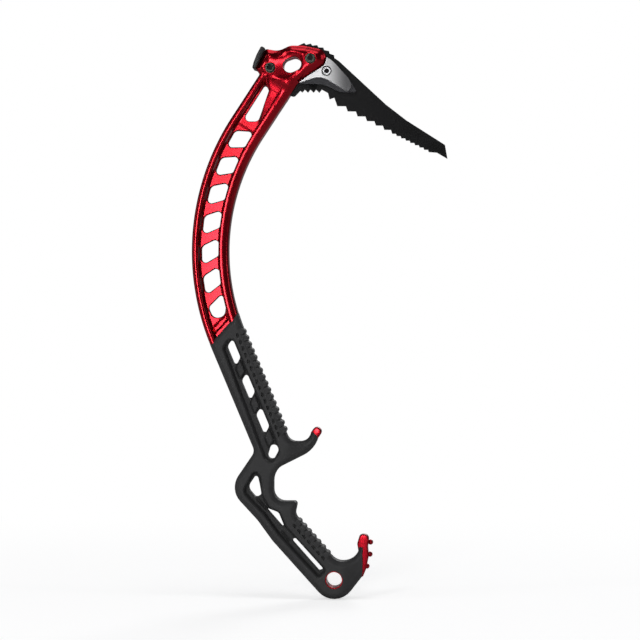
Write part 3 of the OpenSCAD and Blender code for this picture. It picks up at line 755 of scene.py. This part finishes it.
window_pitch = 26.4
lean = 0.55 * 14.6 / 2
windows = [bent([(-9.8, 5.0, 4), (-1.6, -7.5, 4), (-41.5, -7.9, 2.2), (-38, -1.8, 2.6)])]
for i in range(6):
    middle = 12.2 + window_pitch * i
    a, b = middle - 8.0, middle + 8.6
    windows.append(bent([(a - lean, 6.9, 3.2), (b - lean, 6.9, 3.2), (b + lean, -8.1, 3.4),
                         (a + lean, -8.1, 5.3)]))
last = 12.2 + window_pitch * 6 - 2.2
windows.append(bent([(last - 10.5, 6.8, 2.2), (last + 2, 7.4, 6), (last + 10.5, 4, 7), (last + 9.5, -6.2, 6),
                     (last - 1, -8, 4)]))


def egg(p, r, q, s, fine=24):
    (px, pz), (qx, qz) = p, q
    line = math.atan2(qz - pz, qx - px)
    open_by = math.acos((r - s) / math.hypot(qx - px, qz - pz)) if abs(r - s) > 1e-6 else math.pi / 2
    first = np.linspace(line + open_by, line + 2 * math.pi - open_by, fine)
    second = np.linspace(line - open_by, line + open_by, fine)
    return np.concatenate([np.stack([px + r * np.cos(first), pz + r * np.sin(first)], -1),
                           np.stack([qx + s * np.cos(second), qz + s * np.sin(second)], -1)])


head_eye = egg((-1.6, -0.6), 6.4, (2.1, 0.9), 6.2)
bolt_spots = {"front": (16.4, 6.0), "rear": (-19.8, -2.2)}


print("windows:", len(windows))

# %% Cut the frame
head_bore, nut_bore, shank_hole = 5.3, 5.05, 3.2    # radii
pick_gap, fork_gap = 2.1, 4.2    # half widths of the slots for the pick and for the hammer's tabs


def through(bm):
    flared_prism(bm, windows[0], 2.05, 14, 0.45)
    for outline in windows[1:]:
        flared_prism(bm, outline, 1.6, 3.2, 0.9)
    flared_prism(bm, head_eye, 9.1, 14, 0.7)


def bores(bm):
    for spot in bolt_spots.values():
        drum(bm, spot, head_bore, -14, -6.2)


def far_bores(bm):
    for spot in bolt_spots.values():
        drum(bm, spot, nut_bore, 8.2, 14)


def shanks(bm):
    for spot in bolt_spots.values():
        drum(bm, spot, shank_hole, -7, 9)


slot = rounded([[3, 17.2, 0], [-3.5, 14.5, 10], [-14, 9.8, 10], [-28.9, 5.3, 3], [-27, -9.1, 4],
                [-9.9, -11.4, 6], [-6.9, -25.8, 3], [1.5, -28.6, 3], [40, -40, 0], [60, 0, 0], [40, 30, 0]])
fork = grown(rounded([[-34, 11, 1], [-24, 6.2, 3], [-14.2, 2.5, 6], [-14.2, -7.6, 6], [-24, -8.4, 3],
                      [-38, -3.5, 1]]), 0.4)
bm = carve(bm, [
    (cutter("outline", lambda b: prism(b, silhouette, -20, 20)), "INTERSECT"),
    (cutter("through", through), "DIFFERENCE"),
    (cutter("bores", bores), "DIFFERENCE"),
    (cutter("far_bores", far_bores), "DIFFERENCE"),
    (cutter("shanks", shanks), "DIFFERENCE"),
    (cutter("slot", lambda b: prism(b, slot, -pick_gap, pick_gap)), "DIFFERENCE"),
    (cutter("fork", lambda b: prism(b, fork, -fork_gap, fork_gap)), "DIFFERENCE"),
])
put(bm, "forged_frame", "frame", red_finish, ["shaft_frame"], smooth_angle=30)

# %% [markdown]
# ## The rubber grip
# The grip is one moulding over the lower half of the frame. Its sides are softly rounded, its faces are sunk
# round the windows, and it thins out towards the trigger and the pommel's hook. It is lifted from a grid in the
# same way as the frame, and then the mould's details are added: ribs under the fingers, small slots beside
# them, the windows and the leash eye.

# %% Outline of the grip
hook_foot, rib_line = np.array([41.8, -448.6]), np.array([-0.665, 0.747])
rib_out = np.array([0.747, 0.665])
leash_eye = (37.8, -462.2)
back_strip = [[*p, 0.0] for p in on_shaft(np.linspace(198.1, 262, 17), -half_depth)]
front_strip = [[*p, 0.0] for p in on_shaft(np.linspace(262, 179.9, 21), half_depth)]
grip_outline = rounded(back_strip + [
    neck_point(bend_length + 102.4, -half_depth, 8), [-56.7, -381.3, 18.5], [-31, -409, 40],
    [-17.5, -427.5, 40],
    [39, -490.0, 20.8], [67.5, -453.5, 6], [69.6, -437, 20], [69, -421.6, 4], [60.1, -422.2, 4],
    [60.2, -441.5, 14.3], [*hook_foot, 14.3], [*(hook_foot + 59.3 * rib_line), 7], [4.8, -392.2, 2.6],
    [-16.9, -392.3, 16], [-16.9, -364, 16], [20.1, -345.6, 25], [26.4, -324.2, 3.6], [19.8, -324.2, 2.8],
    [13.5, -338.3, 10], [-2.6, -338.3, 9]] + front_strip)
grip_window_pitch = 33.5
pockets = [
    rounded([neck_point(bend_length + run, side, r) for run, side, r in (
        (-2.5, 5.2, 4.5), (98, 5.4, 10), (112, 4, 5), (118, -7, 3), (111, -10.4, 4), (5.5, -6.6, 4))]),
    rounded([[-33, -363.5, 3], [-28, -371, 3], [-26.8, -386, 4], [-20.5, -397.6, 2], [-11.4, -401.5, 3],
             [-5.3, -414.4, 3], [3, -423.6, 2], [30.4, -452.8, 2.5], [24.4, -460.6, 3], [-11.5, -422, 30],
             [-25, -403.5, 30], [-44.6, -383.2, 7]])]
plates = [rounded([neck_point(bend_length + grip_window_pitch * i + run, side, 0.8) for run, side in (
    (20.4, 3.6), (32.6, 3.6), (37.8, -3.5), (27.2, -3.5))]) for i in range(3)]


def bar_between(a, b, wide):
    a, b = np.array(a), np.array(b)
    along = (b - a) / np.linalg.norm(b - a)
    across = np.array([-along[1], along[0]]) * wide / 2
    return np.array([a + across, b + across, b - across, a - across])


ridges = [bar_between((-31.59, -389.52), (-22.86, -399.24), 1.3),
          bar_between((-9.45, -418.95), (-2.7, -427.23), 1.3)]
print("grip outline points:", len(grip_outline))


# %% Half thickness of the grip
full_half, thin_by = 12.4, 3.9
pocket_half, plate_half, ridge_half = 5.5, 8.4, 7.4


def grip_half(spots):
    inward = depth_inside(spots, grip_outline)
    past_trigger = spots - np.array([-1, -345])
    toward_tip = past_trigger @ np.array([0.883, -0.469])
    above = past_trigger @ np.array([0.469, 0.883])
    trigger = ease(-6, 14, toward_tip) * ease(-22, 2, above)
    hook = ease(-10, 12, (spots - np.array([51, -470])) @ np.array([0.990, -0.139]))
    full = full_half - thin_by * np.maximum(trigger, hook)
    half = full - 4.4 * (1 - np.clip(inward / 5, 0, 1)) ** 2.3
    for pocket in pockets:
        half = half + (pocket_half - half) * ease(-0.7, 1.0, depth_inside(spots, pocket))
    for plate in plates:
        half = half + (plate_half - half) * ease(-0.3, 0.4, depth_inside(spots, plate))
    for ridge in ridges:
        half = half + (ridge_half - half) * ease(-0.5, 0.4, depth_inside(spots, ridge))
    return half, inward


print("half thickness:", full_half, "down to", full_half - thin_by, "at the trigger and the hook")


# %% Lift the grip's grid
step = 0.62
low_corner, high_corner = grip_outline.min(0) - 1.5, grip_outline.max(0) + 1.5
wide, tall = (np.ceil((high_corner - low_corner) / step)).astype(int)
bm = bmesh.new()
bmesh.ops.create_grid(bm, x_segments=int(wide) - 1, y_segments=int(tall) - 1, size=1)
place = np.array([v.co[:2] for v in bm.verts])
spots = low_corner + (place + 1) / 2 * (np.array([wide, tall]) - 1) * step
half, inward = grip_half(spots)
outside = inward < -0.9
for v, (x, z), h in zip(bm.verts, spots, half):
    v.co = (x * mm, -h * mm, z * mm)
bmesh.ops.delete(bm, geom=[v for v, gone in zip(list(bm.verts), outside) if gone], context="VERTS")
loose = [v for v in bm.verts if len(v.link_faces) == 0]
bmesh.ops.delete(bm, geom=loose, context="VERTS")
for _ in range(2):
    bmesh.ops.smooth_vert(bm, verts=[v for v in bm.verts if not v.is_boundary], factor=0.5, use_axis_y=True)
closed_pair(bm)
print("grip grid:", wide, "x", tall, "open edges:", sum(not e.is_manifold for e in bm.edges))


# %% Details of the moulding
def turned_outline(shape, spot, turn):
    cos_t, sin_t = math.cos(turn), math.sin(turn)
    return np.array([[spot[0] + x * cos_t - z * sin_t, spot[1] + x * sin_t + z * cos_t] for x, z in shape])


rib_pitch = 6.4
upper_ribs, lower_ribs = 16, 7
rib_shape = rounded([[2.9, 2.85, 2.8], [-3.2, 2.85, 2.0], [-3.2, -2.85, 2.0], [2.9, -2.85, 2.8]], 8)
slot_shape = rounded([[-1.2, -2.3, 0.4], [-1.2, 2.3, 0.4], [1.4, 1.6, 1.4], [1.4, -1.6, 1.4]], 5)


def ribs(bm):
    for i in range(upper_ribs):
        prism(bm, turned_outline(rib_shape, on_shaft(198 + rib_pitch * i, 14.6), grip_lean), -11.9, 11.9)
    for i in range(lower_ribs):
        spot = hook_foot + (13.8 + rib_pitch * i) * rib_line - 1.95 * rib_out
        prism(bm, turned_outline(rib_shape, spot, math.atan2(rib_out[1], rib_out[0])), -11.9, 11.9)
    ends = [e for e in bm.edges if abs(e.verts[0].co.y - e.verts[1].co.y) < 1e-6]
    bmesh.ops.bevel(bm, geom=ends, offset=0.5 * mm, offset_type="OFFSET", segments=2, profile=0.5,
                    affect="EDGES", material=-1, clamp_overlap=True)


def small_slots(bm):
    for sign in (-1, 1):
        for i in range(upper_ribs):
            shape = turned_outline(slot_shape, on_shaft(200 + rib_pitch * i, 10.1), math.radians(14))
            prism(bm, shape, *sorted((sign * 8.4, sign * 14)))
        for i in range(lower_ribs):
            spot = hook_foot + (13.8 + rib_pitch * i) * rib_line - 6 * rib_out
            prism(bm, turned_outline(slot_shape, spot, math.radians(38)), *sorted((sign * 8.4, sign * 14)))


grip_windows = [rounded([neck_point(bend_length + grip_window_pitch * i + run, side, r) for run, side, r in (
    (0.2, 4.3, 3.4), (19.2, 4.3, 4.5), (25.8, -3.5, 3.4), (5.2, -3.5, 4.5))]) for i in range(3)]
oval_at = on_shaft(bend_length + 108.8, -1.8)
grip_windows.append(turned_outline(egg((0, -3), 3.6, (0.4, 2.4), 4.2), oval_at, math.radians(-18)))
grip_windows += [
    rounded([[-31.6, -366.5, 3.4], [-29.4, -376, 12], [-27.6, -386, 2.6], [-32.8, -389, 2.6],
             [-40.8, -380, 6]]),
    rounded([[-24.6, -397.4, 0.9], [-12.2, -402.0, 5], [-5.2, -419.4, 1.2]]),
    rounded([[2.6, -424.4, 1.9], [-0.4, -427.4, 1.9], [24.2, -455, 1.9], [28.4, -452.9, 1.9]])]


def grip_openings(bm):
    for outline in grip_windows:
        prism(bm, outline, -14, 14)
    drum(bm, leash_eye, 7.9, -14, 14)


def zone(corner, turn, wide, tall, shift=0.0):
    along, up = np.array([math.cos(turn), math.sin(turn)]), np.array([-math.sin(turn), math.cos(turn)])
    start = np.array(corner) + shift * along
    return np.array([start, start + wide * along, start + wide * along + tall * up, start + tall * up])


trigger_end = zone((17.6, -329.4), math.radians(-34), 40, 30, -10)
strip_seat, hook_end = zone((63.2, -460), 0, 60, 60), zone((59, -433), 0, 60, 30)
bm = carve(bm, [
    (cutter("grip_edge", lambda b: prism(b, grip_outline, -20, 20)), "INTERSECT"),
    (cutter("ribs", ribs), "UNION"),
    (cutter("small_slots", small_slots), "DIFFERENCE"),
    (cutter("grip_openings", grip_openings), "DIFFERENCE"),
    (cutter("trigger_end", lambda b: prism(b, trigger_end, -15, 15)), "DIFFERENCE"),
    (cutter("strip_seat", lambda b: prism(b, strip_seat, -15, 15)), "DIFFERENCE"),
    (cutter("hook_end", lambda b: prism(b, hook_end, -15, 15)), "DIFFERENCE"),
])
put(bm, "grip", "frame", rubber_finish, ["grip_rubber"], smooth_angle=34)

# %% [markdown]
# Inside the rubber the same forging runs on as a plain core. It shows again at the trigger's tip, along the
# pommel's hook with its three knobs, and as the lining of the leash eye. Only what shows is dressed: a lining
# bored through, a rounded thumb on the tip, and a soft strip with three beads on it.

# %% Lower part of the frame
lining_outside, lining_inside = 8.1, 6.95    # radii
bm = bmesh.new()
drum(bm, leash_eye, lining_outside, -9.6, 9.6)
bm = carve(bm, [(cutter("leash_eye", lambda b: drum(b, leash_eye, lining_inside, -12, 12)), "DIFFERENCE")])
lining = put(bm, "leash_eye_lining", "frame", red_finish)
broken_edges(lining, 0.3 * mm, 3)


def soft_block(outline, half_wide, edge):
    bm = bmesh.new()
    prism(bm, outline, -half_wide, half_wide)
    rim = [e for e in bm.edges if abs(e.verts[0].co.y - e.verts[1].co.y) < 1e-6]
    bmesh.ops.bevel(bm, geom=rim, offset=edge * mm, offset_type="OFFSET", segments=6, profile=0.5,
                    affect="EDGES", material=-1, clamp_overlap=True)
    return bm


thumb = rounded([[4.3, 4.1, 3.9], [-4.5, 4.1, 1.5], [-4.5, -4.1, 1.5], [4.3, -4.1, 3.9]], 12)
tip_outline = turned_outline(thumb, (22.0, -329.8), math.radians(56))
put(soft_block(tip_outline, 5.8, 2.6), "trigger_tip", "frame", red_finish, smooth_angle=50)

# %% Strip and knobs on the hook
def bead(bm, centre, radius, tall):
    made = bmesh.ops.create_uvsphere(bm, u_segments=40, v_segments=24, radius=radius * mm)
    bmesh.ops.scale(bm, verts=made["verts"], vec=(1, tall, 1))
    bmesh.ops.translate(bm, verts=made["verts"], vec=Vector((centre[0], 0, centre[1])) * mm)


strip_outline = rounded([[58.4, -430, 3], [60.8, -421.6, 3.6], [69.4, -422.0, 4.4], [68.1, -433, 12],
                         [68.8, -441, 8], [66.4, -453, 12], [63.2, -460.6, 1.2], [58.5, -456, 2],
                         [60, -440, 8]])
bm = soft_block(strip_outline, 5.4, 2.2)
beads = [((70.3, -428.9), "knob_1"), ((69.8, -439.8), "knob_2"), ((67.1, -450.5), "knob_3")]
bead_radius, bead_stretch = 2.4, 1.3
bm = carve(bm, [(cutter(name, lambda b: bead(b, centre, bead_radius, bead_stretch)), "UNION")
                for centre, name in beads])
put(bm, "hook_strip", "frame", red_finish, smooth_angle=50)

# %% [markdown]
# The plates, bolts, nuts and washers keep the engineering shape. The bolts' heads are made a little slimmer, so
# that a dark ring shows round them in their bores. The second finish of a piece takes its broken edges. On the
# head bolts it also takes the front face round the socket, and on the weight bolt the inside of the socket. On
# the head bolts and the nuts it is grey steel, a painted highlight on rims that catch the light; on the weight
# bolt it is near-black steel, a painted shade inside the socket, and it darkens the bolt's broken edges as
# well.

# %% Pick, hammer, weights, bolts, nuts and washers
body_of = {n: b for b, members in frame["record"]["behaviour"]["bodies"].items() for n in members}
takeovers = [
    ("pick_blade", "pick", pick_finish, "dark_steel", 0.25 * mm),
    ("hammer_block", "hammer", hammer_finish, "dark_steel", 0.2 * mm),
    ("weight_front_side", "weight_near", weight_finish, "bright_steel", 0.3 * mm),
    ("weight_back_side", "weight_far", weight_finish, "bright_steel", 0.3 * mm),
    ("nut_front", "front_nut", bolt_finish, "black_steel", 0.2 * mm),
    ("nut_rear", "rear_nut", bolt_finish, "black_steel", 0.2 * mm),
    ("nut_weight", "weight_nut", bright_bolt_finish, "bright_steel", 0.2 * mm),
    ("screw_front", "front_bolt", bolt_finish, "black_steel", 0.4 * mm),
    ("screw_rear", "rear_bolt", bolt_finish, "black_steel", 0.4 * mm),
    ("screw_weight", "weight_bolt", bright_bolt_finish, "bright_steel", 0.25 * mm),
    ("ring_front", "front_washer", washer_and_highlight_finish, "grey_steel", 0.1 * mm),
    ("ring_rear", "rear_washer", washer_and_highlight_finish, "grey_steel", 0.1 * mm),
    ("ring_weight", "weight_washer", washer_and_highlight_finish, "grey_steel", 0.1 * mm),
]
# Edge finishes by slot: rubbed steel that is also a painted highlight, and grey steel that paints a highlight
# on black rims.
edge_wear_and_highlight_by_slot = {"dark_steel": rubbed_and_highlight_finish, "black_steel": washer_and_highlight_finish}
# The weight bolt's second finish is near-black steel: painted shade inside its socket, and dark broken edges.
dark_second_finish_by_piece = {"screw_weight": pick_finish}
slimmer = Matrix.Diagonal((0.9, 1, 0.9, 1))
head_ends, face_depth, socket_depth, socket_reach = -4.5 * mm, 0.4 * mm, 6 * mm, 2.6 * mm
for name, node, finish, slot_name, edge in takeovers:
    bm = merged_copy(node)
    if name.startswith("screw"):
        low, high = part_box(node)
        axis = (low + high) / 2
        centre = Matrix.Translation((axis.x, 0, axis.z))
        head_verts = [v for v in bm.verts if v.co.y < head_ends]
        bmesh.ops.transform(bm, matrix=centre @ slimmer @ centre.inverted(), verts=head_verts)
        # Grey steel on a head bolt's front face is a painted highlight; near-black steel inside the weight
        # bolt's socket is a painted shade.
        for face in bm.faces:
            middle = face.calc_center_median()
            in_front = middle.y < low.y + face_depth
            deep = low.y + face_depth < middle.y < low.y + socket_depth
            central = math.hypot(middle.x - axis.x, middle.z - axis.z) < socket_reach
            face.material_index = int(central and (deep if name == "screw_weight" else in_front))
    piece = put(bm, name, body_of[node], finish, [node])
    broken_edges(piece, edge, edge_finish=dark_second_finish_by_piece.get(name, edge_wear_and_highlight_by_slot.get(slot_name)))
